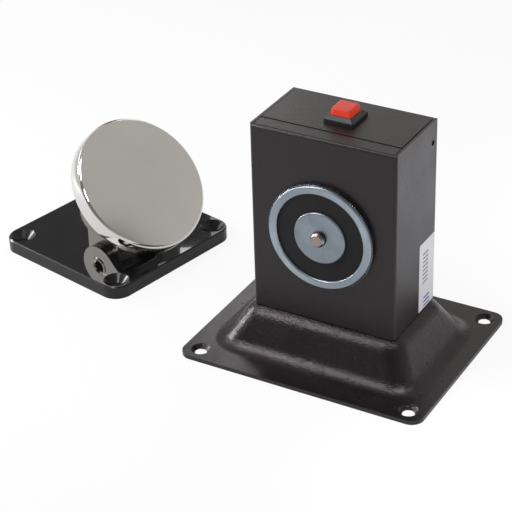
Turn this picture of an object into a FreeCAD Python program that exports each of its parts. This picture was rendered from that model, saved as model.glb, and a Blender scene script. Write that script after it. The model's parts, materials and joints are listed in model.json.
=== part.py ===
import FreeCAD
import Part
import os

from FreeCAD import Placement, Rotation, Vector

# Electromagnetic door holder: a holding magnet in a folded sheet housing on a drawn
# floor pedestal, and the hinged armature plate that goes on the door.
# Millimetres. Origin on the floor under the middle of the housing, +Z up, front at -Y.

# Housing of folded sheet
body_w = 70.0
body_d = 40.0
body_h = 90.5
sheet_t = 1.2
bend_r = 1.4
top_flange = 7.8
seam_gap = 0.4
cover_proud = 0.2
cover_edge_r = 0.5
foot_flange = 14.0
cover_tab_d = 9.0
cover_tab_h = 16.0
cover_lip_d = 6.0
cover_screw_from_rear = 4.0
cover_screw_from_top = 9.9
cover_screw_d = 2.3
cover_screw_gap = 0.1
cover_screw_sink = 0.6
cover_screw_len = 5.0
cover_screw_socket_d = 1.2

# Drawn pedestal
plate_w = 120.0
plate_d = 96.0
plate_r = 6.0
plate_t = 2.0
pedestal_h = 20.0
pedestal_margin = 2.5
pedestal_run_x = 10.5
pedestal_run_y = 10.0
hip_r = 10.4
shoulder_r = 9.0
crease_r = 9.0
floor_hole_d = 5.5
floor_hole_sink_d = 9.0
floor_hole_from_side = 8.0
floor_hole_from_front = 7.3
cable_hole_d = 16.0

# Screws that hold the housing and the bracket on the pedestal, and the magnet on the bracket
m4_d = 4.0
m4_clear = 0.3
m4_head_d = 7.5
m4_head_h = 2.6
m4_len = 7.0
shell_screw_y = 8.0
bracket_screw_y = -11.0
bracket_hole_edge = 5.0
magnet_screw_len = 5.0

# Holding magnet, on an axis along Y
magnet_below_top = 21.4
magnet_d = 50.0
magnet_len = 26.0
magnet_proud = 3.2
pot_wall = 4.0
pot_floor = 5.0
magnet_edge_r = 0.9
magnet_hole_gap = 0.3
core_d = 25.0
core_spigot_d = 14.0
resin_sink = 1.2
resin_t = 2.0
bobbin_gap = 0.2
bobbin_wall = 1.0
winding_gap = 1.5
bracket_t = 2.0
bracket_gap = 0.8
bracket_over = 20.0
plug_access_d = 12.0

# Spring-loaded pin that pushes the armature off
ejector_d = 6.7
ejector_gap = 0.2
ejector_proud = 2.4
ejector_bore_len = 8.0
ejector_collar_d = 9.2
ejector_collar_t = 2.0
ejector_tail_d = 4.0
ejector_tail_len = 5.0
ejector_plug_t = 4.0
ejector_wire = 0.8
ejector_turns = 6

# Release button on the top
button_y = 2.4
bezel_w = 14.4
bezel_side_h = 1.5
bezel_slope_h = 1.6
bezel_slope = 1.6
bezel_corner_r = 0.6
switch_w = 12.6
switch_gap = 0.2
switch_wall = 1.5
cap_gap = 0.2
cap_w = 10.0
cap_taper = 0.5
cap_proud = 3.0
cap_skirt = 5.2
cap_edge_r = 0.7
cap_corner_r = 1.0
stem_d = 4.0
stem_gap = 0.3
stem_head_d = 5.6
stem_head_h = 1.5
well_depth = 9.7
button_travel = 2.5
button_wire = 0.5
button_turns = 3
clip_t = 1.2
clip_rim = 2.0
terminal_w = 2.8
terminal_t = 0.8
terminal_len = 5.5
terminal_pitch = 6.0

# Wiring terminals and cable entry
block_w = 24.0
block_rear_gap = 3.4
block_h = 14.0
block_over_foot = 4.0
block_pole_pitch = 14.0
block_funnel_d = 4.4
block_screw_d = 3.0
block_screw_head_d = 4.0
block_screw_sink = 3.0
block_screw_head_h = 2.2
block_edge = 1.0
grommet_rim = 2.0
grommet_rim_t = 2.2
grommet_bore_d = 8.0

# Armature plate: where it stands, and how far its disc leans
keeper_x = -140.5
keeper_y = 26.0
keeper_yaw = -12.5
disc_lean = 46.0
keeper_w = 82.0
keeper_t = 6.6
keeper_r = 8.5
keeper_edge = 0.6
keeper_hole_d = 5.5
keeper_hole_sink_d = 12.5
keeper_hole_from_side = 7.5
pivot_h = 14.5
pivot_block_w = 21.0
pivot_pin_d = 10.0
pivot_pin_bore = 6.0
pivot_pin_proud = 0.5
pivot_pin_edge = 0.6
pivot_gap = 0.1
ear_t = 3.5
ear_gap = 0.4
ear_r = 11.0
yoke_gap = 1.0
yoke_web_t = 4.0
yoke_flange_d = 34.0
yoke_flange_t = 3.5
yoke_screw_d = 5.0
yoke_screw_head_d = 8.6
yoke_screw_y = 6.0
yoke_screw_grip = 5.0
disc_d = 68.5
disc_t = 10.0
disc_edge = 1.0
swivel_d = 6.0
swivel_gap = 0.2
swivel_head_d = 10.0
swivel_head_h = 3.0
swivel_washer_d = 12.0
swivel_washer_t = 0.8
swivel_sink_gap = 0.4
swivel_grip = 6.5

# Places worked out from the sizes
front_y = -body_d / 2
rear_y = body_d / 2
body_top = pedestal_h + body_h
cover_top = body_top + cover_proud
inner_x = body_w / 2 - sheet_t
cover_x = inner_x - seam_gap
shoulder_x = body_w / 2 + pedestal_margin
shoulder_y = body_d / 2 + pedestal_margin
crease_x = shoulder_x + pedestal_run_x
crease_y = shoulder_y + pedestal_run_y
roof_z = pedestal_h - plate_t
magnet_z = body_top - magnet_below_top - magnet_d / 2
face_y = front_y - magnet_proud
pot_back_y = face_y + magnet_len
pot_inner_y = pot_back_y - pot_floor
core_r = core_d / 2
pot_bore_r = magnet_d / 2 - pot_wall
bracket_back_y = pot_back_y + bracket_t
bracket_x = inner_x - foot_flange - bracket_gap
bracket_hole_x = bracket_x - bracket_hole_edge
block_z = pedestal_h + block_over_foot
block_d = rear_y - sheet_t - block_rear_gap - bracket_back_y
block_screw_len = bracket_t + block_d - block_screw_sink
cover_screw_y = rear_y - cover_screw_from_rear
cover_screw_z = body_top - cover_screw_from_top
bezel_edge = cover_top + bezel_side_h
bezel_top = bezel_edge + bezel_slope_h
cap_bottom = bezel_top - cap_skirt
well_floor = bezel_top - well_depth
stem_head_top = well_floor - switch_wall - stem_gap
stem_head_low = stem_head_top - stem_head_h
chamber_floor = stem_head_low - button_travel - stem_gap
switch_bottom = chamber_floor - switch_wall
pin_z = keeper_t + pivot_h
yoke_web_z = pivot_block_w / 2 + yoke_gap
yoke_flange_z = yoke_web_z + yoke_web_t
disc_back_z = yoke_flange_z + yoke_flange_t
keeper_place = Placement(Vector(keeper_x, keeper_y, 0), Rotation(Vector(0, 0, 1), keeper_yaw))
disc_place = keeper_place.multiply(Placement(Vector(0, 0, pin_z), Rotation(Vector(0, 1, 0), disc_lean)))
UP = Vector(0, 0, 1)
BACK = Vector(0, 1, 0)
RIGHT = Vector(1, 0, 0)
PAST = 5.0
TOUCH = 1e-4


def block(x0, x1, y0, y1, z0, z1):
    """Plain box between two corners."""
    return Part.makeBox(x1 - x0, y1 - y0, z1 - z0, Vector(x0, y0, z0))


def rod(start, axis, diameter, length):
    """Cylinder from a start point along an axis."""
    return Part.makeCylinder(diameter / 2, length, start, axis)


def rounded_rect(half_x, half_y, radius, z):
    """Wire of a rounded rectangle round the Z axis, at height z."""
    edges = []
    last = None
    first = None
    for quarter, (sx, sy) in enumerate(((1, 1), (-1, 1), (-1, -1), (1, -1))):
        centre = Vector(sx * (half_x - radius), sy * (half_y - radius), z)
        arc = Part.makeCircle(radius, centre, UP, 90 * quarter, 90 * quarter + 90)
        start = arc.valueAt(arc.FirstParameter)
        if last is None:
            first = start
        else:
            edges.append(Part.makeLine(last, start))
        edges.append(arc)
        last = arc.valueAt(arc.LastParameter)
    edges.append(Part.makeLine(last, first))
    return Part.Wire(edges)


def slab(half_x, half_y, radius, z0, z1):
    """Rounded rectangular prism from z0 to z1."""
    return Part.Face(rounded_rect(half_x, half_y, radius, z0)).extrude(Vector(0, 0, z1 - z0))


def turned(profile, place):
    """Solid of revolution: (radius, height) points turned about Z, then placed."""
    points = [Vector(r, 0, h) for r, h in profile]
    points.append(points[0])
    solid = Part.Face(Part.makePolygon(points)).revolve(Vector(0, 0, 0), UP, 360)
    solid.Placement = place
    return solid


def along(axis, point):
    """Placement that lays the Z axis of a turned piece along the given axis at a point."""
    return Placement(point, Rotation(UP, axis))


def on_magnet_axis(y):
    """Placement on the magnet's axis with heights running towards the rear."""
    return along(BACK, Vector(0, y, magnet_z))


def sunk(diameter, head_d, length, point, axis):
    """Countersunk screw with its flat head flush at the point, or the tool for its hole."""
    r = diameter / 2
    head_r = head_d / 2
    sink = head_r - r
    profile = [(0, 0), (head_r, 0), (r, sink), (r, length), (0, length)]
    return turned(profile, along(axis, point))


def pan_screw(diameter, head_d, head_h, length, point, axis):
    """Pan head screw whose head seats at the point, with the shank along the axis."""
    r = diameter / 2
    head_r = head_d / 2
    crown = head_h / 3
    profile = [(0, -head_h), (head_r - crown, -head_h), (head_r, -head_h + crown), (head_r, 0), (r, 0),
               (r, length), (0, length)]
    return turned(profile, along(axis, point))


def coil_spring(mean_r, wire, length, turns, place):
    """Compression spring of square wire that fills its length."""
    rise = length - wire
    helix = Part.makeHelix(rise / turns, rise, mean_r)
    half = wire / 2
    corners = [(-half, -half), (half, -half), (half, half), (-half, half), (-half, -half)]
    section = Part.makePolygon([Vector(mean_r + x, 0, z) for x, z in corners])
    spring = Part.Wire(helix.Edges).makePipeShell([section], True, True)
    spring.translate(Vector(0, 0, half))
    spring.Placement = place.multiply(spring.Placement)
    return spring


def edges_on(shape, **levels):
    """Edges that lie wholly at the given levels, such as y=... and z=..."""
    found = []
    for edge in shape.Edges:
        box = edge.BoundBox
        spans = {"x": (box.XMin, box.XMax), "y": (box.YMin, box.YMax), "z": (box.ZMin, box.ZMax)}
        if all(abs(end - level) < TOUCH for axis, level in levels.items() for end in spans[axis]):
            found.append(edge)
    return found


def edges_at(shape, z, half_x, half_y):
    """Edges at one height, within a half width and a half depth."""
    found = []
    for edge in edges_on(shape, z=z):
        box = edge.BoundBox
        reach_x = max(-box.XMin, box.XMax)
        reach_y = max(-box.YMin, box.YMax)
        if reach_x < half_x + TOUCH and reach_y < half_y + TOUCH:
            found.append(edge)
    return found


def both_sides(shape):
    """A shape and its mirror image in the middle plane."""
    return [shape, shape.mirror(Vector(0, 0, 0), RIGHT)]


def four(x, y):
    """The four points of a rectangular pattern."""
    return [(sx * x, sy * y) for sx in (-1, 1) for sy in (-1, 1)]


def shell_screw_points():
    """Where screws from below hold the housing's foot flanges."""
    return four(inner_x - foot_flange / 2, shell_screw_y)


def bracket_screw_points():
    """Where screws from below hold the bracket's foot."""
    return [(-bracket_hole_x, bracket_screw_y), (bracket_hole_x, bracket_screw_y)]


def hipped_block(inset, low, high, radius):
    """Block with sloping sides and rounded hips, inset from the pedestal's outside."""
    foot_x = crease_x - inset
    foot_y = crease_y - inset
    top_x = shoulder_x - inset
    top_y = shoulder_y - inset
    solid = Part.makeWedge(-foot_x, low, -foot_y, -top_y, -top_x, foot_x, high, foot_y, top_y, top_x)
    solid.rotate(Vector(0, 0, 0), RIGHT, 90)
    return solid.makeFillet(radius, [e for e in solid.Edges if e.BoundBox.ZLength > TOUCH])


def base_pedestal():
    """Drawn sheet pedestal: flat flange, hipped hollow frustum, rounded shoulder and foot crease."""
    flange = slab(plate_w / 2, plate_d / 2, plate_r, 0, plate_t)
    outer = flange.fuse(hipped_block(0, plate_t, pedestal_h, hip_r)).removeSplitter()
    outer = outer.makeFillet(crease_r, edges_at(outer, plate_t, crease_x, crease_y))
    outer = outer.makeFillet(shoulder_r, edges_at(outer, pedestal_h, shoulder_x, shoulder_y))
    hollow = hipped_block(plate_t, 0, roof_z, hip_r - plate_t)
    hollow = hollow.makeFillet(shoulder_r - plate_t, edges_at(hollow, roof_z, shoulder_x, shoulder_y))
    shape = outer.cut(hollow)
    shape = shape.makeFillet(crease_r + plate_t, edges_at(shape, 0, crease_x, crease_y))
    tools = [rod(Vector(0, 0, roof_z - PAST), UP, cable_hole_d, plate_t + 2 * PAST)]
    for x, y in four(plate_w / 2 - floor_hole_from_side, plate_d / 2 - floor_hole_from_front):
        tools.append(sunk(floor_hole_d, floor_hole_sink_d, plate_t, Vector(x, y, plate_t), -UP))
    for x, y in shell_screw_points() + bracket_screw_points():
        tools.append(rod(Vector(x, y, roof_z - PAST), UP, m4_d + m4_clear, plate_t + 2 * PAST))
    return shape.cut(tools)


def folded_box(inset, radius):
    """Housing block with rounded front corners and front top edge, inset by a wall."""
    half = body_w / 2 - inset
    solid = block(-half, half, front_y + inset, rear_y, pedestal_h, body_top - inset)
    front = [e for e in edges_on(solid, y=front_y + inset) if e.BoundBox.ZMax > pedestal_h + TOUCH]
    return solid.makeFillet(radius, front)


def front_shell():
    """Front, two sides, narrow top flange and two foot flanges, folded from one sheet."""
    shape = folded_box(0, bend_r).cut(folded_box(sheet_t, bend_r - sheet_t))
    flange_y = front_y + top_flange
    low = body_top - sheet_t - PAST
    high = body_top + PAST
    shape = shape.cut(block(-inner_x, inner_x, flange_y, rear_y, low, high))
    slit = block(cover_x, inner_x, front_y + bend_r, flange_y, low, high)
    shape = shape.cut(both_sides(slit))
    reach = shell_screw_y + foot_flange / 2
    foot = block(inner_x - foot_flange, inner_x, -reach, reach, pedestal_h, pedestal_h + sheet_t)
    shape = shape.fuse(both_sides(foot))
    hole_d = magnet_d + 2 * magnet_hole_gap
    tools = [rod(Vector(0, front_y - PAST, magnet_z), BACK, hole_d, sheet_t + 2 * PAST)]
    for x, y in shell_screw_points():
        tools.append(rod(Vector(x, y, pedestal_h - PAST), UP, m4_d, sheet_t + 2 * PAST))
    start = Vector(-body_w / 2 - PAST, cover_screw_y, cover_screw_z)
    tools.append(rod(start, RIGHT, cover_screw_d + 2 * cover_screw_gap, body_w + 2 * PAST))
    return shape.cut(tools).removeSplitter()


def rear_cover():
    """Top and rear in one bent sheet, with two side tabs for its screws and a lip at the foot."""
    outer = block(-cover_x, cover_x, front_y + top_flange + seam_gap, rear_y, pedestal_h, cover_top)
    inner = block(-cover_x, cover_x, front_y - PAST, rear_y - sheet_t, pedestal_h - PAST, cover_top - sheet_t)
    bend = edges_on(outer, y=rear_y, z=cover_top)
    shape = outer.makeFillet(cover_edge_r, bend).cut(inner)
    tab_y = rear_y - sheet_t - cover_tab_d
    tab_z = cover_screw_z - cover_tab_h / 2
    tab = block(cover_x - sheet_t, cover_x, tab_y, rear_y - sheet_t, tab_z, tab_z + cover_tab_h)
    shape = shape.fuse(both_sides(tab))
    hole = rod(Vector(-cover_x, cover_screw_y, cover_screw_z), RIGHT, cover_screw_d, 2 * cover_x)
    shape = shape.cut(hole)
    lip_x = inner_x - foot_flange - sheet_t
    lip_y = rear_y - sheet_t - cover_lip_d
    shape = shape.fuse(block(-lip_x, lip_x, lip_y, rear_y - sheet_t, pedestal_h, pedestal_h + sheet_t))
    half = switch_w / 2 + switch_gap
    hole = block(-half, half, button_y - half, button_y + half, cover_top - sheet_t - PAST, cover_top + PAST)
    return shape.cut(hole).removeSplitter()


def cover_screws():
    """Two headless socket screws in the cover's tabs that lock into holes in the sides."""
    start = Vector(body_w / 2 - cover_screw_sink, cover_screw_y, cover_screw_z)
    screw = rod(start, -RIGHT, cover_screw_d, cover_screw_len)
    screw = screw.cut(rod(start, -RIGHT, cover_screw_socket_d, cover_screw_len / 2))
    return Part.makeCompound(both_sides(screw))


def pedestal_screws():
    """Six pan head screws driven up from inside the pedestal."""
    points = shell_screw_points() + bracket_screw_points()
    seats = [Vector(x, y, roof_z) for x, y in points]
    return Part.makeCompound([pan_screw(m4_d, m4_head_d, m4_head_h, m4_len, seat, UP) for seat in seats])


def magnet_bracket():
    """Bent sheet bracket: a foot on the pedestal and an upright behind the magnet."""
    foot_front = front_y + sheet_t + seam_gap
    foot_top = pedestal_h + bracket_t
    foot = block(-bracket_x, bracket_x, foot_front, bracket_back_y, pedestal_h, foot_top)
    upright = block(-bracket_x, bracket_x, pot_back_y, bracket_back_y, pedestal_h, magnet_z + bracket_over)
    shape = foot.fuse(upright).removeSplitter()
    inside = edges_on(shape, y=pot_back_y, z=foot_top)
    outside = edges_on(shape, y=bracket_back_y, z=pedestal_h)
    shape = shape.makeFillet(bracket_t, inside).makeFillet(2 * bracket_t - seam_gap, outside)
    rim_d = cable_hole_d + 2 * grommet_rim
    tools = [rod(Vector(0, 0, pedestal_h - PAST), UP, rim_d + 2 * seam_gap, bracket_t + 2 * PAST)]
    tools.append(rod(Vector(0, pot_back_y - PAST, magnet_z), BACK, plug_access_d, bracket_t + 2 * PAST))
    for x, y in bracket_screw_points():
        tools.append(rod(Vector(x, y, pedestal_h - PAST), UP, m4_d, bracket_t + 2 * PAST))
    for side in (-1, 1):
        start = Vector(side * bracket_hole_x, pot_back_y - PAST, magnet_z)
        tools.append(rod(start, BACK, m4_d + m4_clear, bracket_t + 2 * PAST))
    start = Vector(0, pot_back_y - PAST, block_z + block_h / 2)
    tools.append(rod(start, BACK, block_screw_d, bracket_t + 2 * PAST))
    return shape.cut(tools)


def magnet_screws():
    """Two pan head screws that hold the pot on its bracket."""
    points = [Vector(side * bracket_hole_x, bracket_back_y, magnet_z) for side in (-1, 1)]
    screws = [pan_screw(m4_d, m4_head_d, m4_head_h, magnet_screw_len, point, -BACK) for point in points]
    return Part.makeCompound(screws)


def magnet_pot():
    """Turned steel pot: outer pole ring and floor."""
    r = magnet_d / 2
    depth = magnet_len - pot_floor
    spigot_r = core_spigot_d / 2
    profile = [(pot_bore_r, 0), (r, 0), (r, magnet_len),
               (spigot_r, magnet_len), (spigot_r, depth), (pot_bore_r, depth)]
    shape = turned(profile, on_magnet_axis(face_y))
    shape = shape.makeFillet(magnet_edge_r, edges_on(shape, y=face_y))
    grip = magnet_screw_len - bracket_t
    holes = [rod(Vector(side * bracket_hole_x, pot_back_y, magnet_z), -BACK, m4_d, grip) for side in (-1, 1)]
    return shape.cut(holes)


def magnet_core():
    """Turned inner pole with a spigot through the pot's floor, bored for the ejector pin."""
    depth = magnet_len - pot_floor
    spigot_r = core_spigot_d / 2
    pin_r = ejector_d / 2 + ejector_gap
    bore_r = ejector_collar_d / 2 + ejector_gap
    profile = [(pin_r, 0), (core_r, 0), (core_r, depth), (spigot_r, depth), (spigot_r, magnet_len),
               (bore_r, magnet_len), (bore_r, ejector_bore_len), (pin_r, ejector_bore_len)]
    shape = turned(profile, on_magnet_axis(face_y))
    rim = [edge for edge in edges_on(shape, y=face_y) if edge.BoundBox.XMax > core_r - TOUCH]
    return shape.makeFillet(magnet_edge_r, rim)


def bobbin_span():
    """Front and rear ends of the bobbin, along the magnet's axis."""
    return face_y + resin_sink + resin_t, pot_inner_y


def coil_bobbin():
    """Moulded bobbin on the inner pole."""
    y0, y1 = bobbin_span()
    length = y1 - y0
    r0 = core_r + bobbin_gap
    r1 = r0 + bobbin_wall
    r2 = pot_bore_r - bobbin_gap
    w = bobbin_wall
    profile = [(r0, 0), (r2, 0), (r2, w), (r1, w),
               (r1, length - w), (r2, length - w), (r2, length), (r0, length)]
    return turned(profile, on_magnet_axis(y0))


def coil_winding():
    """Copper winding between the bobbin's cheeks."""
    y0, y1 = bobbin_span()
    r1 = core_r + bobbin_gap + bobbin_wall
    r2 = pot_bore_r - winding_gap
    length = y1 - y0 - 2 * bobbin_wall
    return turned([(r1, 0), (r2, 0), (r2, length), (r1, length)], on_magnet_axis(y0 + bobbin_wall))


def potting_resin():
    """Cast resin ring that closes the coil space, a little below the pole faces."""
    profile = [(core_r, 0), (pot_bore_r, 0), (pot_bore_r, resin_t), (core_r, resin_t)]
    return turned(profile, on_magnet_axis(face_y + resin_sink))


def ejector_pin():
    """Headed pin with a domed tip, a collar that stops it and a tail that guides its spring."""
    r = ejector_d / 2
    collar_r = ejector_collar_d / 2
    tail_r = ejector_tail_d / 2
    shoulder = ejector_proud + ejector_bore_len
    collar_end = shoulder + ejector_collar_t
    dome = ejector_d / 8
    end = collar_end + ejector_tail_len
    profile = [(0, 0), (r - dome, 0), (r, dome), (r, shoulder), (collar_r, shoulder), (collar_r, collar_end),
               (tail_r, collar_end), (tail_r, end), (0, end)]
    return turned(profile, on_magnet_axis(face_y - ejector_proud))


def ejector_spring():
    """Compression spring between the pin's collar and the plug."""
    start = face_y + ejector_bore_len + ejector_collar_t
    length = pot_back_y - ejector_plug_t - start
    mean_r = (ejector_tail_d / 2 + ejector_collar_d / 2) / 2
    return coil_spring(mean_r, ejector_wire, length, ejector_turns, on_magnet_axis(start))


def ejector_plug():
    """Slotted plug that closes the bore behind the spring."""
    r = ejector_collar_d / 2 + ejector_gap
    plug = rod(Vector(0, pot_back_y - ejector_plug_t, magnet_z), BACK, 2 * r, ejector_plug_t)
    slot_w = ejector_plug_t / 4
    slot_y = pot_back_y - ejector_plug_t / 3
    return plug.cut(block(-r, r, slot_y, pot_back_y + PAST, magnet_z - slot_w / 2, magnet_z + slot_w / 2))


def at_button(shape):
    """Move a shape made round the Z axis to the button's place."""
    shape.translate(Vector(0, button_y, 0))
    return shape


def switch_housing():
    """Moulded bezel and body with a square well for the cap and a chamber for its stem."""
    half = bezel_w / 2
    rim = half - bezel_slope
    low = rounded_rect(half, half, bezel_corner_r, bezel_edge)
    high = rounded_rect(rim, rim, bezel_corner_r, bezel_top)
    side = slab(half, half, bezel_corner_r, cover_top, bezel_edge)
    body = slab(switch_w / 2, switch_w / 2, bezel_corner_r, switch_bottom, cover_top)
    shape = Part.makeLoft([low, high], True, True).fuse([side, body])
    well = cap_w / 2 + cap_gap
    shape = shape.cut(slab(well, well, cap_corner_r, well_floor, bezel_top + PAST))
    chamber_d = stem_head_d + 2 * stem_gap
    start = Vector(0, 0, chamber_floor)
    shape = shape.cut(rod(start, UP, chamber_d, well_floor - switch_wall - chamber_floor))
    shape = shape.cut(rod(start, UP, stem_d + 2 * stem_gap, bezel_top - chamber_floor))
    for x in (-terminal_pitch / 2, terminal_pitch / 2):
        shape = shape.cut(terminal_at(x))
    return at_button(shape.removeSplitter())


def button_cap():
    """Square push cap, tapered above the bezel, with a snap stem below it."""
    half = cap_w / 2
    crown = half - cap_taper
    top = bezel_top + cap_proud
    low = rounded_rect(half, half, cap_corner_r, bezel_top)
    high = rounded_rect(crown, crown, cap_corner_r, top)
    cap = Part.makeLoft([low, high], True, True)
    cap = cap.makeFillet(cap_edge_r, edges_at(cap, top, half, half))
    cap = cap.fuse(slab(half, half, cap_corner_r, cap_bottom, bezel_top))
    r = stem_d / 2
    profile = [(0, stem_head_low), (r, stem_head_low), (stem_head_d / 2, stem_head_top), (r, stem_head_top),
               (r, cap_bottom), (0, cap_bottom)]
    stem = turned(profile, Placement())
    return at_button(cap.fuse(stem).removeSplitter())


def button_spring():
    """Return spring round the stem, under the cap."""
    mean_r = stem_d / 2 + stem_gap + button_wire
    spring = coil_spring(mean_r, button_wire, cap_bottom - well_floor, button_turns,
                         Placement(Vector(0, 0, well_floor), Rotation()))
    return at_button(spring)


def terminal_at(x):
    """One flat blade that stands out below the switch."""
    z1 = switch_bottom + switch_wall / 2
    half_t = terminal_t / 2
    half_w = terminal_w / 2
    return block(x - half_t, x + half_t, -half_w, half_w, z1 - terminal_len, z1)


def switch_terminals():
    """Two blades moulded into the floor of the switch."""
    return Part.makeCompound([at_button(terminal_at(x)) for x in (-terminal_pitch / 2, terminal_pitch / 2)])


def switch_clip():
    """Push-on frame that clamps the switch under the cover."""
    z1 = cover_top - sheet_t
    outer = switch_w / 2 + clip_rim
    inner = switch_w / 2
    frame = slab(outer, outer, cap_corner_r, z1 - clip_t, z1)
    frame = frame.cut(slab(inner, inner, bezel_corner_r, z1 - clip_t - PAST, z1 + PAST))
    return at_button(frame)


def pole_points():
    """The two wire entries of the terminal block, left and right of its fixing screw."""
    return [side * block_pole_pitch / 2 for side in (-1, 1)]


def terminal_block():
    """Two-pole terminal block on the back of the bracket."""
    y0 = bracket_back_y
    y1 = y0 + block_d
    z1 = block_z + block_h
    shape = block(-block_w / 2, block_w / 2, y0, y1, block_z, z1)
    shape = shape.makeChamfer(block_edge, edges_on(shape, y=y1))
    middle = y0 + block_d / 2
    mid_z = block_z + block_h / 2
    head_d = block_screw_head_d + 2 * m4_clear
    tools = [rod(Vector(0, y0 - PAST, mid_z), BACK, block_screw_d, block_d + 2 * PAST),
             rod(Vector(0, y1 - block_screw_sink, mid_z), BACK, head_d, block_d)]
    for x in pole_points():
        tools.append(rod(Vector(x, middle, block_z - PAST), UP, block_funnel_d, block_h / 3 + PAST))
        tools.append(rod(Vector(x, middle, mid_z), BACK, block_screw_d, block_d))
    return shape.cut(tools)


def terminal_screws():
    """Two clamp screws, level with the back of the block."""
    start = bracket_back_y + block_d
    screws = []
    for x in pole_points():
        screws.append(rod(Vector(x, start, block_z + block_h / 2), -BACK, block_screw_d, block_d / 2))
    return Part.makeCompound(screws)


def block_screw():
    """Screw that holds the terminal block on the bracket."""
    seat = Vector(0, bracket_back_y + block_d - block_screw_sink, block_z + block_h / 2)
    return pan_screw(block_screw_d, block_screw_head_d, block_screw_head_h, block_screw_len, seat, -BACK)


def cable_grommet():
    """Rubber grommet in the pedestal's cable hole."""
    bore = grommet_bore_d / 2
    neck = cable_hole_d / 2
    rim = neck + grommet_rim
    z1 = plate_t
    low = -grommet_rim_t
    high = z1 + grommet_rim_t
    profile = [(bore, low), (rim, low), (rim, 0), (neck, 0), (neck, z1), (rim, z1), (rim, high), (bore, high)]
    return turned(profile, Placement(Vector(0, 0, roof_z), Rotation()))


def keeper_base():
    """Gloss plate with four countersunk holes and a sunk seat for the swivel screw."""
    half = keeper_w / 2
    shape = slab(half, half, keeper_r, 0, keeper_t)
    shape = shape.makeChamfer(keeper_edge, edges_at(shape, keeper_t, half, half))
    hole = half - keeper_hole_from_side
    starts = [Vector(x, y, keeper_t) for x, y in four(hole, hole)]
    tools = [sunk(keeper_hole_d, keeper_hole_sink_d, keeper_t, start, -UP) for start in starts]
    sink = swivel_sink_gap + swivel_head_h + swivel_washer_t
    tools.append(rod(Vector(0, 0, 0), UP, swivel_washer_d + 2 * swivel_gap, sink))
    tools.append(rod(Vector(0, 0, 0), UP, swivel_d + 2 * swivel_gap, keeper_t))
    shape = shape.cut(tools)
    shape.Placement = keeper_place
    return shape


def pivot_block():
    """Square post with a round top that carries the hinge pin."""
    half = pivot_block_w / 2
    post = block(-half, half, -half, half, keeper_t, pin_z)
    crown = rod(Vector(0, -half, pin_z), BACK, pivot_block_w, pivot_block_w)
    shape = post.fuse(crown).removeSplitter()
    shape = shape.cut(rod(Vector(0, -half, pin_z), BACK, pivot_pin_d + 2 * pivot_gap, pivot_block_w))
    shape = shape.cut(rod(Vector(0, 0, keeper_t), UP, swivel_d, swivel_grip))
    shape.Placement = keeper_place
    return shape


def swivel_screw():
    """Screw from below that the block turns on."""
    seat = swivel_sink_gap + swivel_head_h
    length = keeper_t - seat + swivel_grip
    r = swivel_d / 2
    head_r = swivel_head_d / 2
    profile = [(0, -swivel_head_h), (head_r, -swivel_head_h), (head_r, 0), (r, 0), (r, length), (0, length)]
    return turned(profile, keeper_place.multiply(Placement(Vector(0, 0, seat), Rotation())))


def swivel_washer():
    """Friction washer under the plate's seat."""
    seat = swivel_sink_gap + swivel_head_h
    r0 = swivel_d / 2 + swivel_gap
    r1 = swivel_washer_d / 2
    profile = [(r0, 0), (r1, 0), (r1, swivel_washer_t), (r0, swivel_washer_t)]
    return turned(profile, keeper_place.multiply(Placement(Vector(0, 0, seat), Rotation())))


def ear_out():
    """Distance from the middle to the outer face of the yoke's ears."""
    return pivot_block_w / 2 + ear_gap + ear_t


def pivot_pin():
    """Hollow hinge pin through the ears and the block, with chamfered ends that stand proud."""
    half = ear_out() + pivot_pin_proud
    end = 2 * half
    edge = pivot_pin_edge
    r0 = pivot_pin_bore / 2
    r1 = pivot_pin_d / 2
    profile = [(r0, edge), (r0 + edge, 0), (r1 - edge, 0), (r1, edge),
               (r1, end - edge), (r1 - edge, end), (r0 + edge, end), (r0, end - edge)]
    return turned(profile, disc_place.multiply(along(BACK, Vector(0, -half, 0))))


def yoke_screw_points():
    """Where the yoke is screwed to the disc."""
    return [Vector(0, side * yoke_screw_y, yoke_web_z) for side in (-1, 1)]


def pivot_yoke():
    """Forged yoke: two round ears on the pin, a web over the block and a round flange for the disc."""
    out = ear_out()
    ear = block(-ear_r, ear_r, -out, out, 0, yoke_flange_z)
    ear = ear.fuse(rod(Vector(0, -out, 0), BACK, 2 * ear_r, 2 * out))
    inner = out - ear_t
    space = block(-yoke_flange_d, yoke_flange_d, -inner, inner, -2 * ear_r, yoke_web_z)
    shape = ear.cut(space)
    shape = shape.fuse(rod(Vector(0, 0, yoke_flange_z), UP, yoke_flange_d, yoke_flange_t)).removeSplitter()
    tools = [rod(Vector(0, -out, 0), BACK, pivot_pin_d, 2 * out)]
    for point in yoke_screw_points():
        tools.append(sunk(yoke_screw_d, yoke_screw_head_d, disc_back_z, point, UP))
    shape = shape.cut(tools)
    shape.Placement = disc_place
    return shape


def yoke_screws():
    """Two countersunk screws from the yoke into the back of the disc."""
    length = disc_back_z - yoke_web_z + yoke_screw_grip
    screws = [sunk(yoke_screw_d, yoke_screw_head_d, length, p, UP) for p in yoke_screw_points()]
    group = Part.makeCompound(screws)
    group.Placement = disc_place
    return group


def armature_disc():
    """Plated steel disc that the magnet holds."""
    r = disc_d / 2
    profile = [(0, 0), (r - disc_edge, 0), (r, disc_edge),
               (r, disc_t - disc_edge), (r - disc_edge, disc_t), (0, disc_t)]
    shape = turned(profile, Placement(Vector(0, 0, disc_back_z), Rotation()))
    for point in yoke_screw_points():
        shape = shape.cut(rod(Vector(point.x, point.y, disc_back_z), UP, yoke_screw_d, yoke_screw_grip))
    shape.Placement = disc_place.multiply(shape.Placement)
    return shape


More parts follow.
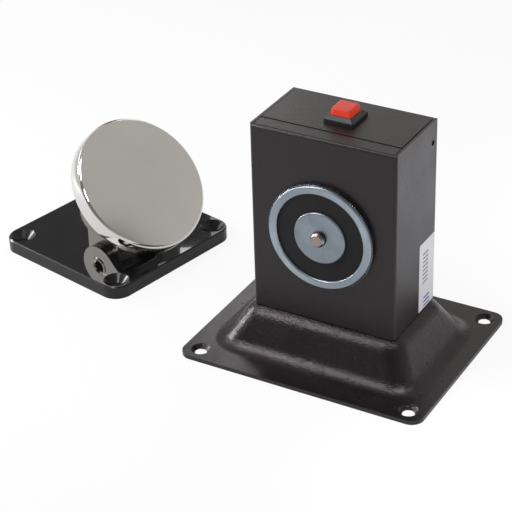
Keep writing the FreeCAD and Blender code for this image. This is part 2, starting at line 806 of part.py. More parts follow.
PIECES = (
    base_pedestal, front_shell, rear_cover, cover_screws, pedestal_screws, cable_grommet,
    magnet_bracket, magnet_screws, magnet_pot, magnet_core, coil_bobbin, coil_winding, potting_resin,
    ejector_pin, ejector_spring, ejector_plug,
    switch_housing, button_cap, button_spring, switch_terminals, switch_clip,
    terminal_block, terminal_screws, block_screw,
    keeper_base, pivot_block, swivel_screw, swivel_washer, pivot_pin, pivot_yoke, yoke_screws, armature_disc,
)

os.makedirs("parts", exist_ok=True)
for piece in PIECES:
    solid = piece()
    solid.exportStep(os.path.join("parts", piece.__name__ + ".step"))
    print(piece.__name__, len(solid.Solids), round(solid.Volume, 1), solid.isValid())
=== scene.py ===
import json
import math

import bmesh
import bpy
from mathutils import Matrix, Vector


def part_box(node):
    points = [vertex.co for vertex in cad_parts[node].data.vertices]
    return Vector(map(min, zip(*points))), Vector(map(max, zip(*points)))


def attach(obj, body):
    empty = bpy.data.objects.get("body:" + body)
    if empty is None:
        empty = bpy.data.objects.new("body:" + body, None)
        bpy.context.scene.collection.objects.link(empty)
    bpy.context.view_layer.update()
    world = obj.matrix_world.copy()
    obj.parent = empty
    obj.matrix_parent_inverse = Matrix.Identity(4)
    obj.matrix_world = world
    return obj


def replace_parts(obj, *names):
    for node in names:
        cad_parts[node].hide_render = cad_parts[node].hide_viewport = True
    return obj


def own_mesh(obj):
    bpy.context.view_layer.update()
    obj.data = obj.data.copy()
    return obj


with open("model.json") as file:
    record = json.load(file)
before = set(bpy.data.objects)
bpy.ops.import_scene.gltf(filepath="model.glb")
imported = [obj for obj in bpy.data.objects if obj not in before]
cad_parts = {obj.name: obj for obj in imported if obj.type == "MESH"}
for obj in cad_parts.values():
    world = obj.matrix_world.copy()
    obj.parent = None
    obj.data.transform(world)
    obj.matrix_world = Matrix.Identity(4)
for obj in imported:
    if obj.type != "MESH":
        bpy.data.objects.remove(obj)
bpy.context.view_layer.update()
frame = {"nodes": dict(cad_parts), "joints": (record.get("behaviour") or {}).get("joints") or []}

nodes = frame["nodes"]
joints = {joint["name"]: joint for joint in frame["joints"]}
MM = 0.001
QUARTER_TURN = math.pi / 2
FULL_TURN = 2 * math.pi
UP = (0, 0, 1)
REARWARD = (0, 1, 0)

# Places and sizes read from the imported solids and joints
pot_low, pot_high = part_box("magnet_pot")
shell_low, shell_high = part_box("front_shell")
MAGNET_CENTRE = Vector(((pot_low.x + pot_high.x) / 2, 0, (pot_low.z + pot_high.z) / 2))
MAGNET_R = (pot_high.x - pot_low.x) / 2
POLE_FACE_Y = pot_low.y
PIVOT = Vector(joints["armature_tilt"]["pos_m"])
PIVOT_AXIS = Vector(joints["armature_tilt"]["axis"]).normalized()

# Armature disc: the sizes of its solid, and the soft radius at both ends of its chamfer
DISC_LEAN = math.radians(46)
DISC_AXIS = Matrix.Rotation(DISC_LEAN, 3, PIVOT_AXIS) @ Vector(UP)
DISC_BACK = 19 * MM
DISC_T = 10 * MM
DISC_R = 34.25 * MM
DISC_CHAMFER = 1.0 * MM
DISC_SOFT = 0.25 * MM
DISC_STEPS = 160

# Knurl round the pole ring, from behind the pole face to just before the front sheet
KNURL_TEETH = 150
KNURL_POINTS = 4
KNURL_DEPTH = 0.35 * MM
KNURL_LEAD = 0.2 * MM
KNURL_CLEAR = 0.01 * MM
KNURL_FRONT = POLE_FACE_Y + 0.75 * MM
KNURL_BACK = shell_low.y - 0.05 * MM

# Sticker on the right side: its edges, its ruled field and its stripes, along Y and Z
STICKER_Y = (4.6 * MM, 19.8 * MM)
STICKER_Z = (20.4 * MM, 55.0 * MM)
STICKER_T = 0.08 * MM
STICKER_CORNER = 0.8 * MM
RULED_Y = (8.2 * MM, 13.4 * MM)
RULED_Z = (33 * MM, 50 * MM)
STRIPES_Y = (9.6 * MM, 15.4 * MM)
STRIPES_Z = (21.3 * MM, 27.3 * MM)
LINE_PITCH = 2.1 * MM

MERGE_GAP = 1e-7
SHARP_ANGLE = math.radians(32)

# Camera found from the straight edges of the photograph
CAMERA_PLACE = Vector((0.31895, -0.61804, 0.45707))
CAMERA_AZIMUTH = math.radians(30.515)
CAMERA_ELEVATION = math.radians(30.702)
CAMERA_ROLL = math.radians(-1.841)
CAMERA_LENS = 127.41
CAMERA_SENSOR = 36.0
CAMERA_NEAR = 0.01

# Set: the floor, and the card that the gloss plate mirrors
FLOOR_HALF = 6.0
FLOOR_DROP = 0.2 * MM
FLOOR_COLOUR = (0.77, 0.78, 0.83, 1)
FLOOR_SEEN_WHITE = 0.9
FLOOR_MIRRORED_WHITE = 0.5
CARD_PLACE = (-0.313, 0.25, 0.17)
CARD_WIDTH = 0.174
CARD_HEIGHT = 0.13
TENT_COLOUR = (1.0, 0.97, 0.95, 1)

# Lamps: name, place, aim, width, height, power in watts and beam in degrees
LAMPS = (
    ("overhead", (-0.35, -0.25, 0.8), (-0.05, 0, 0.05), 0.35, 0.25, 1.9, 180),
    ("front_left", (-0.112, -0.12, 0.175), (-0.03, -0.03, 0.015), 0.05, 0.04, 0.10, 180),
    ("hip_light", (-0.479, -0.054, 0.135), (-0.036, -0.024, 0.017), 0.04, 0.09, 0.8, 180),
    ("left_strip", (-0.62, 0.02, 0.28), (0, 0, 0.02), 0.16, 0.28, 0.5, 180),
    ("left_fill", (-0.62, -0.27, 0.31), (-0.14, 0, 0.02), 0.26, 0.24, 0.2, 180),
    ("left_back", (-0.181, 0.206, 0.161), (-0.05, -0.01, 0), 0.07, 0.07, 0.034, 180),
    ("floor_light", (0.14, 0.165, 0.40), (0.14, 0.165, 0), 0.10, 0.10, 0.15, 40),
    ("floor_front", (0.115, -0.068, 0.40), (0.115, -0.068, 0), 0.06, 0.06, 0.06, 30),
)

# Finishes, in linear colour
COAT_DARK = (0.0045, 0.0036, 0.0044)
COAT_LIGHT = (0.0080, 0.0064, 0.0074)
COAT_GLINT = (1.0, 0.90, 0.93, 1)
# Painted shade in the coat's pin holes, and their roughness
PIN_HOLE_SHADE = (0.001, 0.001, 0.001)
PIN_HOLE_ROUGH = (0.9, 0.9, 0.9)
ZINC = (0.36, 0.42, 0.465)
ZINC_DULL = (0.26, 0.30, 0.335)
NICKEL = (0.655, 0.64, 0.605)
NICKEL_DULL = (0.625, 0.61, 0.575)
PIN_STEEL = (0.34, 0.282, 0.26)
RED = (0.66, 0.030, 0.008)
RED_DEEP = (0.60, 0.025, 0.007)
# Painted glow: emission colour for the red cap's upright sides
RED_PAINTED_GLOW = (0.24, 0.012, 0.001)
CARD_GREY = (0.085, 0.08, 0.08)
GLOSS_BLACK = (0.004, 0.004, 0.005)
MOULDED_BLACK = (0.020, 0.020, 0.0205)
RESIN_BLACK = (0.008, 0.0068, 0.0066)
COPPER = (0.70, 0.30, 0.14)
PAPER = (0.90, 0.89, 0.93)
PRINT_GREY = (0.30, 0.30, 0.31)
PRINT_BLUE = (0.03, 0.12, 0.38)

# Direction across the pole ring along which its colour is painted brighter, a painted highlight for the
# shine of its lathe marks
PAINTED_SHEEN_TILT = math.radians(38)
PAINTED_SHEEN_AXIS = (math.cos(PAINTED_SHEEN_TILT), 0, math.sin(PAINTED_SHEEN_TILT))


def shade(colour, share):
    """A colour made darker, or brighter by a share above one."""
    return tuple(channel * share for channel in colour)


def maths(tree, operation, *values):
    """A Math node on sockets or numbers."""
    made = tree.nodes.new("ShaderNodeMath")
    made.operation = operation
    for socket, value in zip(made.inputs, values):
        if isinstance(value, (int, float)):
            socket.default_value = value
        else:
            tree.links.new(value, socket)
    return made.outputs[0]


def vector_maths(tree, operation, a, b=None):
    """A Vector Math node; a is a socket, b a constant or nothing."""
    made = tree.nodes.new("ShaderNodeVectorMath")
    made.operation = operation
    tree.links.new(a, made.inputs[0])
    if b is not None:
        made.inputs[1].default_value = b
    return made.outputs["Value" if operation in ("LENGTH", "DOT_PRODUCT") else "Vector"]


def ramp(tree, value, low, high, to_low=0.0, to_high=1.0):
    """A clamped Map Range from low..high to to_low..to_high."""
    made = tree.nodes.new("ShaderNodeMapRange")
    for name, number in (("From Min", low), ("From Max", high), ("To Min", to_low), ("To Max", to_high)):
        made.inputs[name].default_value = number
    tree.links.new(value, made.inputs["Value"])
    return made.outputs["Result"]


def inside(tree, value, low, high):
    """One between low and high, else nought."""
    above = maths(tree, "GREATER_THAN", value, low)
    below = maths(tree, "LESS_THAN", value, high)
    return maths(tree, "MULTIPLY", above, below)


def blend(tree, share, a, b):
    """A colour mix; a and b are sockets or colours."""
    made = tree.nodes.new("ShaderNodeMix")
    made.data_type = "RGBA"
    tree.links.new(share, made.inputs[0])
    for socket, value in ((made.inputs[6], a), (made.inputs[7], b)):
        if isinstance(value, tuple):
            socket.default_value = (*value, 1)
        else:
            tree.links.new(value, socket)
    return made.outputs[2]


def feed(principled, socket):
    """What already feeds a socket of the shader."""
    return principled.inputs[socket].links[0].from_socket


def new_group(name, inputs, outputs):
    """An empty shader node group with named sockets."""
    group = bpy.data.node_groups.new(name, "ShaderNodeTree")
    for label, kind in inputs:
        group.interface.new_socket(label, in_out="INPUT", socket_type=kind)
    for label, kind in outputs:
        group.interface.new_socket(label, in_out="OUTPUT", socket_type=kind)
    return group, group.nodes.new("NodeGroupInput"), group.nodes.new("NodeGroupOutput")


def mottle_group():
    """Two colours mixed by soft noise, with a roughness that follows."""
    group, entry, out = new_group(
        "mottle",
        [("Vector", "NodeSocketVector"), ("Dark", "NodeSocketColor"), ("Light", "NodeSocketColor"),
         ("Scale", "NodeSocketFloat"), ("Rough Low", "NodeSocketFloat"), ("Rough High", "NodeSocketFloat")],
        [("Color", "NodeSocketColor"), ("Roughness", "NodeSocketFloat")])
    cloud = group.nodes.new("ShaderNodeTexNoise")
    cloud.inputs["Detail"].default_value = 5.0
    cloud.inputs["Roughness"].default_value = 0.6
    group.links.new(entry.outputs["Vector"], cloud.inputs["Vector"])
    group.links.new(entry.outputs["Scale"], cloud.inputs["Scale"])
    share = ramp(group, cloud.outputs["Fac"], 0.32, 0.68)
    colour = blend(group, share, entry.outputs["Dark"], entry.outputs["Light"])
    rough = group.nodes.new("ShaderNodeMapRange")
    group.links.new(share, rough.inputs["Value"])
    group.links.new(entry.outputs["Rough Low"], rough.inputs["To Min"])
    group.links.new(entry.outputs["Rough High"], rough.inputs["To Max"])
    group.links.new(colour, out.inputs["Color"])
    group.links.new(rough.outputs["Result"], out.inputs["Roughness"])
    return group


def pebble_group():
    """Height of a pebbled coat or grain, from soft cells and finer noise."""
    group, entry, out = new_group(
        "pebble",
        [("Vector", "NodeSocketVector"), ("Scale", "NodeSocketFloat")],
        [("Height", "NodeSocketFloat")])
    cells = group.nodes.new("ShaderNodeTexVoronoi")
    cells.feature = "SMOOTH_F1"
    cells.inputs["Smoothness"].default_value = 0.6
    fine = group.nodes.new("ShaderNodeTexNoise")
    fine.inputs["Detail"].default_value = 3.0
    for texture in (cells, fine):
        group.links.new(entry.outputs["Vector"], texture.inputs["Vector"])
        group.links.new(entry.outputs["Scale"], texture.inputs["Scale"])
    hollows = maths(group, "MULTIPLY", cells.outputs["Distance"], 0.8)
    height = maths(group, "SUBTRACT", fine.outputs["Fac"], hollows)
    group.links.new(height, out.inputs["Height"])
    return group


MOTTLE = mottle_group()
PEBBLE = pebble_group()


def use_group(tree, group, vector, **values):
    """Place a shared group and set its inputs."""
    made = tree.nodes.new("ShaderNodeGroup")
    made.node_tree = group
    tree.links.new(vector, made.inputs["Vector"])
    for key, value in values.items():
        made.inputs[key.replace("_", " ")].default_value = value
    return made


def finish_base(name, dark, light, scale, rough, **values):
    """A material whose colour and roughness follow the mottle group."""
    material = bpy.data.materials.new(name)
    material.use_nodes = True
    tree = material.node_tree
    principled = tree.nodes["Principled BSDF"]
    for key, value in values.items():
        principled.inputs[key.replace("_", " ")].default_value = value
    vector = tree.nodes.new("ShaderNodeTexCoord").outputs["Object"]
    made = use_group(tree, MOTTLE, vector, Dark=(*dark, 1), Light=(*light, 1), Scale=scale,
                     Rough_Low=rough[0], Rough_High=rough[1])
    tree.links.new(made.outputs["Color"], principled.inputs["Base Color"])
    tree.links.new(made.outputs["Roughness"], principled.inputs["Roughness"])
    return material, tree, principled, vector


def bump(tree, principled, height, strength, depth):
    """Bump a surface by a height socket."""
    made = tree.nodes.new("ShaderNodeBump")
    made.inputs["Strength"].default_value = strength
    made.inputs["Distance"].default_value = depth
    tree.links.new(height, made.inputs["Height"])
    tree.links.new(made.outputs["Normal"], principled.inputs["Normal"])


def pebbles(tree, vector, grain):
    """Height of the pebble group at a grain."""
    return use_group(tree, PEBBLE, vector, Scale=grain).outputs["Height"]


def grained(name, dark, light, rough, grain, depth, scale=60.0, **values):
    """A mottled finish with a pebbled grain."""
    material, tree, principled, vector = finish_base(name, dark, light, scale, rough, **values)
    bump(tree, principled, pebbles(tree, vector, grain), 1.0, depth)
    return material


def axis_radius(tree, vector, centre, axis):
    """Distance of a point from a line through centre along axis."""
    offset = vector_maths(tree, "SUBTRACT", vector, centre)
    return vector_maths(tree, "LENGTH", vector_maths(tree, "CROSS_PRODUCT", offset, axis))


def turned(name, dark, light, rough, pitch, depth, painted_sheen_axis=None):
    """Metal with the fine rings of a lathe tool round the magnet's axis; given an axis, its colour is
    painted brighter along it and darker across it, a painted highlight.
    """
    material, tree, principled, vector = finish_base(name, dark, light, 90.0, rough, Metallic=1.0)
    radius = axis_radius(tree, vector, MAGNET_CENTRE, REARWARD)
    if painted_sheen_axis:
        # Painted highlight: the full colour towards the given axis, fading by the squared cosine to a
        # darker colour across it
        offset = vector_maths(tree, "SUBTRACT", vector, MAGNET_CENTRE)
        along = maths(tree, "DIVIDE", vector_maths(tree, "DOT_PRODUCT", offset, painted_sheen_axis), radius)
        share = maths(tree, "POWER", maths(tree, "ABSOLUTE", along), 2.0)
        painted_sheen_colour = blend(tree, share, shade(dark, 0.95), feed(principled, "Base Color"))
        tree.links.new(painted_sheen_colour, principled.inputs["Base Color"])
    rings = maths(tree, "SINE", maths(tree, "MULTIPLY", radius, FULL_TURN / pitch))
    bump(tree, principled, rings, 0.6, depth)
    return material


def armature_nickel():
    """Nickel with a fine ground face and a mirror-bright chamfer and rim."""
    material, tree, principled, vector = finish_base(
        "armature_nickel", NICKEL_DULL, NICKEL, 45.0, (0.215, 0.235), Metallic=1.0)
    radius = axis_radius(tree, vector, PIVOT, DISC_AXIS)
    face_edge = DISC_R - DISC_CHAMFER
    face = ramp(tree, radius, face_edge - 0.15 * MM, face_edge, 1.0, 0.0)
    rough = maths(tree, "MULTIPLY_ADD", face, feed(principled, "Roughness"), 0.07)
    tree.links.new(rough, principled.inputs["Roughness"])
    return material


def level_share(tree, low, high):
    """How level the surface lies: nought where its upward normal is low, one where it is high."""
    split = tree.nodes.new("ShaderNodeSeparateXYZ")
    tree.links.new(tree.nodes.new("ShaderNodeNewGeometry").outputs["Normal"], split.inputs[0])
    return ramp(tree, split.outputs["Z"], low, high)


def black_lacquer():
    """Black enamel, with a mirror-polished clear coat on its level top."""
    steep_rough, level_rough = 0.28, 0.07
    material, tree, principled, _ = finish_base(
        "gloss_black", GLOSS_BLACK, shade(GLOSS_BLACK, 1.6), 40.0, (level_rough, steep_rough),
        IOR=1.4, Coat_IOR=2.0, Coat_Roughness=0.02)
    level = level_share(tree, 0.75, 0.97)
    tree.links.new(level, principled.inputs["Coat Weight"])
    rough = ramp(tree, level, 0.0, 1.0, steep_rough, level_rough)
    tree.links.new(rough, principled.inputs["Roughness"])
    return material


def coat(name, rough, grain, depth, pitted=False):
    """Dark grey textured powder coat; a pitted one has a few pin holes with painted shade in them, and is
    smoother where level.
    """
    material, tree, principled, vector = finish_base(
        name, COAT_DARK, COAT_LIGHT, 60.0, rough, IOR=1.47, Specular_Tint=COAT_GLINT)
    height = pebbles(tree, vector, grain)
    if pitted:
        cells = tree.nodes.new("ShaderNodeTexVoronoi")
        cells.inputs["Scale"].default_value = 170.0
        tree.links.new(vector, cells.inputs["Vector"])
        hole = ramp(tree, cells.outputs["Distance"], 0.05, 0.09, 1.0, 0.0)
        # Pin holes: a rough dip in the bump, with a near-black colour painted in as their shade
        for socket, value in (("Base Color", PIN_HOLE_SHADE), ("Roughness", PIN_HOLE_ROUGH)):
            tree.links.new(blend(tree, hole, feed(principled, socket), value), principled.inputs[socket])
        height = maths(tree, "SUBTRACT", height, maths(tree, "MULTIPLY", hole, 2.0))
        texture = ramp(tree, level_share(tree, 0.93, 0.995), 0.0, 1.0, 1.0, 0.2)
        height = maths(tree, "MULTIPLY", height, texture)
    bump(tree, principled, height, 1.0, depth)
    return material


def red_cap():
    """Red moulding, whose upright sides carry a painted glow: an emission that stands in for the light that
    enters its top.
    """
    material, tree, principled, vector = finish_base(
        "red_plastic", RED_DEEP, RED, 50.0, (0.28, 0.36), Emission_Strength=1.0)
    # Painted glow: full emission on the upright sides, a tenth of it on the level top
    glow = blend(tree, level_share(tree, 0.2, 0.9), RED_PAINTED_GLOW, shade(RED_PAINTED_GLOW, 0.1))
    tree.links.new(glow, principled.inputs["Emission Color"])
    bump(tree, principled, pebbles(tree, vector, 2200), 1.0, 0.006 * MM)
    return material


def knurled():
    """Zinc painted with a highlight on its crests, lighter than the plain zinc, and painted shade in its
    grooves, by the distance from the magnet's axis.
    """
    # Painted highlight: the crests' zinc is half again to nearly twice as light as plain zinc
    material, tree, principled, vector = finish_base(
        "zinc_knurl", shade(ZINC, 1.5), shade(ZINC, 1.8), 90.0, (0.25, 0.35), Metallic=1.0)
    radius = axis_radius(tree, vector, MAGNET_CENTRE, REARWARD)
    # Painted shade: near-black grooves, blending to the light crests by the distance from the axis
    painted_crest_share = ramp(tree, radius, MAGNET_R + 0.10 * MM, MAGNET_R + 0.28 * MM)
    colour = blend(tree, painted_crest_share, shade(ZINC, 0.08), feed(principled, "Base Color"))
    tree.links.new(colour, principled.inputs["Base Color"])
    return material


def paper_label():
    """White sticker with a plain grey ruled field and three blue stripes."""
    material, tree, principled, vector = finish_base(
        "paper_label", shade(PAPER, 0.94), PAPER, 120.0, (0.42, 0.5))
    split = tree.nodes.new("ShaderNodeSeparateXYZ")
    tree.links.new(vector, split.inputs[0])
    across = split.outputs["Y"]
    height = split.outputs["Z"]
    waves = maths(tree, "SINE", maths(tree, "MULTIPLY", height, FULL_TURN / LINE_PITCH))
    lines = maths(tree, "GREATER_THAN", waves, 0.1)
    colour = feed(principled, "Base Color")
    for span_y, span_z, ink in ((RULED_Y, RULED_Z, PRINT_GREY), (STRIPES_Y, STRIPES_Z, PRINT_BLUE)):
        field = maths(tree, "MULTIPLY", inside(tree, across, *span_y), inside(tree, height, *span_z))
        colour = blend(tree, maths(tree, "MULTIPLY", lines, field), colour, ink)
    tree.links.new(colour, principled.inputs["Base Color"])
    return material


housing_coat = coat("housing_coat", (0.30, 0.38), 1100, 0.06 * MM)
pedestal_coat = coat("pedestal_coat", (0.22, 0.30), 1300, 0.14 * MM, pitted=True)
zinc_turned = turned("zinc_turned", shade(ZINC_DULL, 1.05), shade(ZINC, 1.15), (0.28, 0.40),
                     pitch=0.45 * MM, depth=0.004 * MM, painted_sheen_axis=PAINTED_SHEEN_AXIS)
zinc_core = turned("zinc_core", shade(ZINC_DULL, 0.74), shade(ZINC, 0.79), (0.30, 0.42),
                   pitch=0.45 * MM, depth=0.004 * MM)
pin_steel = turned("pin_steel", shade(PIN_STEEL, 0.85), PIN_STEEL, (0.25, 0.35),
                   pitch=0.3 * MM, depth=0.003 * MM)
zinc_knurl = knurled()
zinc_plain = grained("zinc_plain", ZINC_DULL, ZINC, (0.28, 0.42), 3000, 0.006 * MM, 90.0, Metallic=1.0)
blackened = grained("blackened_steel", shade(ZINC_DULL, 0.06), shade(ZINC, 0.09), (0.4, 0.5), 2500,
                    0.01 * MM)
nickel_disc = armature_nickel()
nickel_bright = grained("nickel_bright", NICKEL_DULL, NICKEL, (0.10, 0.16), 900, 0.006 * MM, 70.0,
                        Metallic=1.0)
gloss_black = black_lacquer()
resin = grained("black_resin", shade(RESIN_BLACK, 0.8), RESIN_BLACK, (0.55, 0.7), 1800, 0.03 * MM, IOR=1.38)
moulded = grained("black_plastic", shade(MOULDED_BLACK, 0.85), MOULDED_BLACK, (0.35, 0.45), 2600, 0.01 * MM)
red_plastic = red_cap()
copper = grained("copper", shade(COPPER, 0.8), COPPER, (0.25, 0.35), 1500, 0.01 * MM, Metallic=1.0)
rubber = grained("rubber", shade(MOULDED_BLACK, 0.6), MOULDED_BLACK, (0.6, 0.7), 2000, 0.02 * MM)
label_paper = paper_label()

FINISHES = {
    housing_coat: ("front_shell", "rear_cover"),
    pedestal_coat: ("base_pedestal",),
    zinc_turned: ("magnet_pot",),
    zinc_core: ("magnet_core",),
    zinc_plain: ("pedestal_screws", "magnet_bracket", "magnet_screws", "ejector_spring", "ejector_plug",
                 "button_spring", "terminal_screws", "block_screw", "swivel_screw", "swivel_washer",
                 "yoke_screws"),
    blackened: ("cover_screws",),
    nickel_bright: ("pivot_block", "pivot_pin", "pivot_yoke"),
    nickel_disc: ("armature_disc",),
    pin_steel: ("ejector_pin",),
    gloss_black: ("keeper_base",),
    resin: ("potting_resin",),
    moulded: ("coil_bobbin", "switch_housing", "switch_clip", "terminal_block"),
    red_plastic: ("button_cap",),
    copper: ("coil_winding", "switch_terminals"),
    rubber: ("cable_grommet",),
}
for material, names in FINISHES.items():
    for name in names:
        mesh = nodes[name].data
        mesh.materials.clear()
        mesh.materials.append(material)


def piece(name, mesh, material, body):
    """A new mesh object with its finish and slot, riding on a body."""
    made = bpy.data.objects.new(name, mesh)
    bpy.context.scene.collection.objects.link(made)
    mesh.materials.append(material)
    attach(made, body)
    return made


def mesh_from(name, bm, smooth=True):
    """Turn a bmesh into a mesh, smooth but for its sharp edges."""
    bmesh.ops.recalc_face_normals(bm, faces=bm.faces)
    mesh = bpy.data.meshes.new(name)
    bm.to_mesh(mesh)
    bm.free()
    if smooth:
        mesh.polygons.foreach_set("use_smooth", [True] * len(mesh.polygons))
        mesh.set_sharp_from_angle(angle=SHARP_ANGLE)
    return mesh


def side_label():
    """Thin paper sticker low on the right side, up to its rear edge."""
    bm = bmesh.new()
    bmesh.ops.create_cube(bm, size=1.0)
    low, high = zip((shell_high.x, shell_high.x + STICKER_T), STICKER_Y, STICKER_Z)
    for vert in bm.verts:
        for axis in range(3):
            vert.co[axis] = low[axis] if vert.co[axis] < 0 else high[axis]
    corners = [edge for edge in bm.edges if abs(edge.verts[0].co.x - edge.verts[1].co.x) > STICKER_T / 2]
    bmesh.ops.bevel(bm, geom=corners, offset=STICKER_CORNER, segments=4, profile=0.5, affect="EDGES",
                    material=-1)
    return mesh_from("side_label", bm)


def on_crest(vert):
    """Whether a point of the knurl's circle is on a crest: of the four points of a tooth, two are."""
    point = round(math.atan2(vert.co.y, vert.co.x) / FULL_TURN * KNURL_POINTS * KNURL_TEETH)
    return point % KNURL_POINTS in (1, 2)


def pole_knurl():
    """Fine straight knurl round the part of the pole ring that stands proud of the front."""
    bm = bmesh.new()
    root = bmesh.ops.create_circle(bm, segments=KNURL_POINTS * KNURL_TEETH, radius=MAGNET_R + KNURL_CLEAR)
    rim = list({edge for vert in root["verts"] for edge in vert.link_edges})
    crests = []
    for step in (KNURL_LEAD, KNURL_BACK - KNURL_FRONT - KNURL_LEAD):
        made = bmesh.ops.extrude_edge_only(bm, edges=rim)["geom"]
        row = [item for item in made if isinstance(item, bmesh.types.BMVert)]
        edges = [item for item in made if isinstance(item, bmesh.types.BMEdge)]
        rim = [edge for edge in edges if edge.verts[0] in row and edge.verts[1] in row]
        bmesh.ops.translate(bm, vec=(0, 0, -step), verts=row)
        crests += [vert for vert in row if on_crest(vert)]
    for vert in crests:
        vert.co.xy *= 1 + KNURL_DEPTH / MAGNET_R
    place = Matrix.Translation((MAGNET_CENTRE.x, KNURL_FRONT, MAGNET_CENTRE.z))
    bmesh.ops.transform(bm, matrix=place @ Matrix.Rotation(QUARTER_TURN, 4, "X"), verts=bm.verts)
    return mesh_from("pole_knurl", bm, smooth=False)


def disc_plate():
    """Armature disc with a softly rounded chamfer, turned about its leaning axis."""
    soft = DISC_SOFT
    face_r = DISC_R - DISC_CHAMFER
    half = [
        (0.0, 0.0),
        (face_r - soft, 0.0),
        (face_r - soft / 3, soft / 6),
        (face_r + soft / 2, soft / 1.4),
        (DISC_R - soft / 1.4, DISC_CHAMFER - soft / 2),
        (DISC_R - soft / 6, DISC_CHAMFER + soft / 3),
        (DISC_R, DISC_CHAMFER + soft),
    ]
    profile = half + [(radius, DISC_T - height) for radius, height in reversed(half)]
    bm = bmesh.new()
    points = [bm.verts.new((radius, 0, DISC_BACK + height)) for radius, height in profile]
    edges = [bm.edges.new(pair) for pair in zip(points, points[1:])]
    bmesh.ops.spin(bm, geom=points + edges, cent=(0, 0, 0), axis=UP, angle=FULL_TURN, steps=DISC_STEPS,
                   use_merge=True)
    bmesh.ops.remove_doubles(bm, verts=bm.verts, dist=MERGE_GAP)
    turn = DISC_AXIS.to_track_quat("Z", "Y").to_matrix().to_4x4()
    bmesh.ops.transform(bm, matrix=Matrix.Translation(PIVOT) @ turn, verts=bm.verts)
    return mesh_from("disc_plate", bm)


def pressed_spring(node):
    """A merged copy of a spring's coil on the root body, put in place of the imported spring."""
    bm = bmesh.new()
    bm.from_mesh(nodes[node].data)
    bmesh.ops.remove_doubles(bm, verts=bm.verts, dist=MERGE_GAP)
    coil = piece(node + "_coil", mesh_from(node + "_coil", bm), zinc_plain, "root")
    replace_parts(coil, node)
    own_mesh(coil)


pressed_spring("button_spring")
pressed_spring("ejector_spring")
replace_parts(piece("disc_plate", disc_plate(), nickel_disc, "armature"), "armature_disc")
piece("side_label", side_label(), label_paper, "root")
piece("pole_knurl", pole_knurl(), zinc_knurl, "root")


def stage_sheet(name, half, place, material):
    """A flat square of the set with its finish, put in place by a matrix."""
    mesh = bpy.data.meshes.new(name)
    bm = bmesh.new()
    bmesh.ops.create_grid(bm, x_segments=1, y_segments=1, size=half)
    bmesh.ops.transform(bm, matrix=place, verts=bm.verts)
    bm.to_mesh(mesh)
    bm.free()
    mesh.materials.append(material)
    made = bpy.data.objects.new(name, mesh)
    bpy.context.scene.collection.objects.link(made)
    return made


def floor_white():
    """White that the camera sees nearly even, and metal mirrors half so, with the object's shadow on it."""
    material = bpy.data.materials.new("floor_white")
    material.use_nodes = True
    tree = material.node_tree
    principled = tree.nodes["Principled BSDF"]
    principled.inputs["Base Color"].default_value = FLOOR_COLOUR
    principled.inputs["Roughness"].default_value = 0.9
    glow = tree.nodes.new("ShaderNodeEmission")
    path = tree.nodes.new("ShaderNodeLightPath")
    mix = tree.nodes.new("ShaderNodeMixShader")
    seen = maths(tree, "ADD", path.outputs["Is Camera Ray"], path.outputs["Is Transmission Ray"])
    seen = maths(tree, "MULTIPLY", seen, FLOOR_SEEN_WHITE)
    share = maths(tree, "MULTIPLY_ADD", path.outputs["Is Glossy Ray"], FLOOR_MIRRORED_WHITE, seen)
    tree.links.new(share, mix.inputs[0])
    tree.links.new(principled.outputs[0], mix.inputs[1])
    tree.links.new(glow.outputs[0], mix.inputs[2])
    tree.links.new(mix.outputs[0], tree.nodes["Material Output"].inputs["Surface"])
    return material


def add_floor():
    """Plain white floor, a hair below the object."""
    floor = stage_sheet("floor", FLOOR_HALF, Matrix.Translation((0, 0, -FLOOR_DROP)), floor_white())


def add_card():
    """Upright grey card behind the armature plate for its gloss top to mirror, not seen itself."""
    stand = Matrix.Rotation(QUARTER_TURN, 4, "X") @ Matrix.Diagonal((CARD_WIDTH, CARD_HEIGHT, 1, 1))
    grey = grained("card", CARD_GREY, CARD_GREY, (0.8, 0.9), 900, 0.02 * MM, IOR=1.2)
    card = stage_sheet("grey_card", 0.5, Matrix.Translation(CARD_PLACE) @ stand, grey)
    card.visible_camera = False


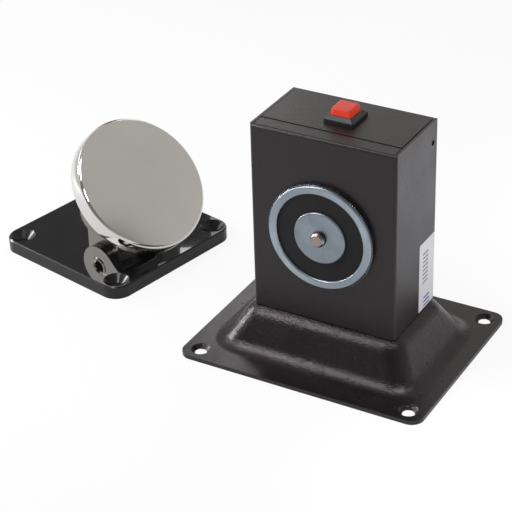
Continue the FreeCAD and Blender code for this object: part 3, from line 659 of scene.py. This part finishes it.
def add_world():
    """White tent, bright low down and on the left, dimmer overhead, to the right and in front."""
    world = bpy.data.worlds.new("studio")
    bpy.context.scene.world = world
    world.use_nodes = True
    tree = world.node_tree
    direction = tree.nodes.new("ShaderNodeTexCoord").outputs["Generated"]
    depth = vector_maths(tree, "DOT_PRODUCT", direction, REARWARD)
    height = vector_maths(tree, "DOT_PRODUCT", direction, UP)
    lean = vector_maths(tree, "DOT_PRODUCT", direction, (0.8, 0, 1))
    left = ramp(tree, lean, 0.17, 0.34, 0.95, 0.57)
    low = ramp(tree, height, 0.15, 0.40, 1.0, 0.5)
    rear = ramp(tree, depth, -0.6, 0.1, 0.4, 1.0)
    level = maths(tree, "MULTIPLY", maths(tree, "MAXIMUM", left, low), rear)
    background = tree.nodes["Background"]
    background.inputs["Color"].default_value = TENT_COLOUR
    tree.links.new(level, background.inputs["Strength"])


def add_softbox(name, place, target, width, height, power, beam_deg):
    """Rectangular area lamp aimed at a point, with a grid that can narrow its beam."""
    lamp = bpy.data.lights.new(name, "AREA")
    lamp.shape = "RECTANGLE"
    lamp.size = width
    lamp.size_y = height
    lamp.energy = power
    lamp.spread = math.radians(beam_deg)
    made = bpy.data.objects.new(name, lamp)
    bpy.context.scene.collection.objects.link(made)
    made.location = place
    made.rotation_euler = (Vector(target) - Vector(place)).to_track_quat("-Z", "Y").to_euler()


def add_camera():
    """Camera that matches the photograph's view."""
    data = bpy.data.cameras.new("camera")
    data.lens = CAMERA_LENS
    data.sensor_width = CAMERA_SENSOR
    data.clip_start = CAMERA_NEAR
    made = bpy.data.objects.new("camera", data)
    bpy.context.scene.collection.objects.link(made)
    azimuth = Matrix.Rotation(CAMERA_AZIMUTH, 4, "Z")
    elevation = Matrix.Rotation(QUARTER_TURN - CAMERA_ELEVATION, 4, "X")
    roll = Matrix.Rotation(CAMERA_ROLL, 4, "Z")
    made.matrix_world = Matrix.Translation(CAMERA_PLACE) @ azimuth @ elevation @ roll
    bpy.context.scene.camera = made


add_floor()
add_world()
add_card()
for lamp in LAMPS:
    add_softbox(*lamp)
add_camera()
bpy.context.scene.view_settings.view_transform = "Standard"
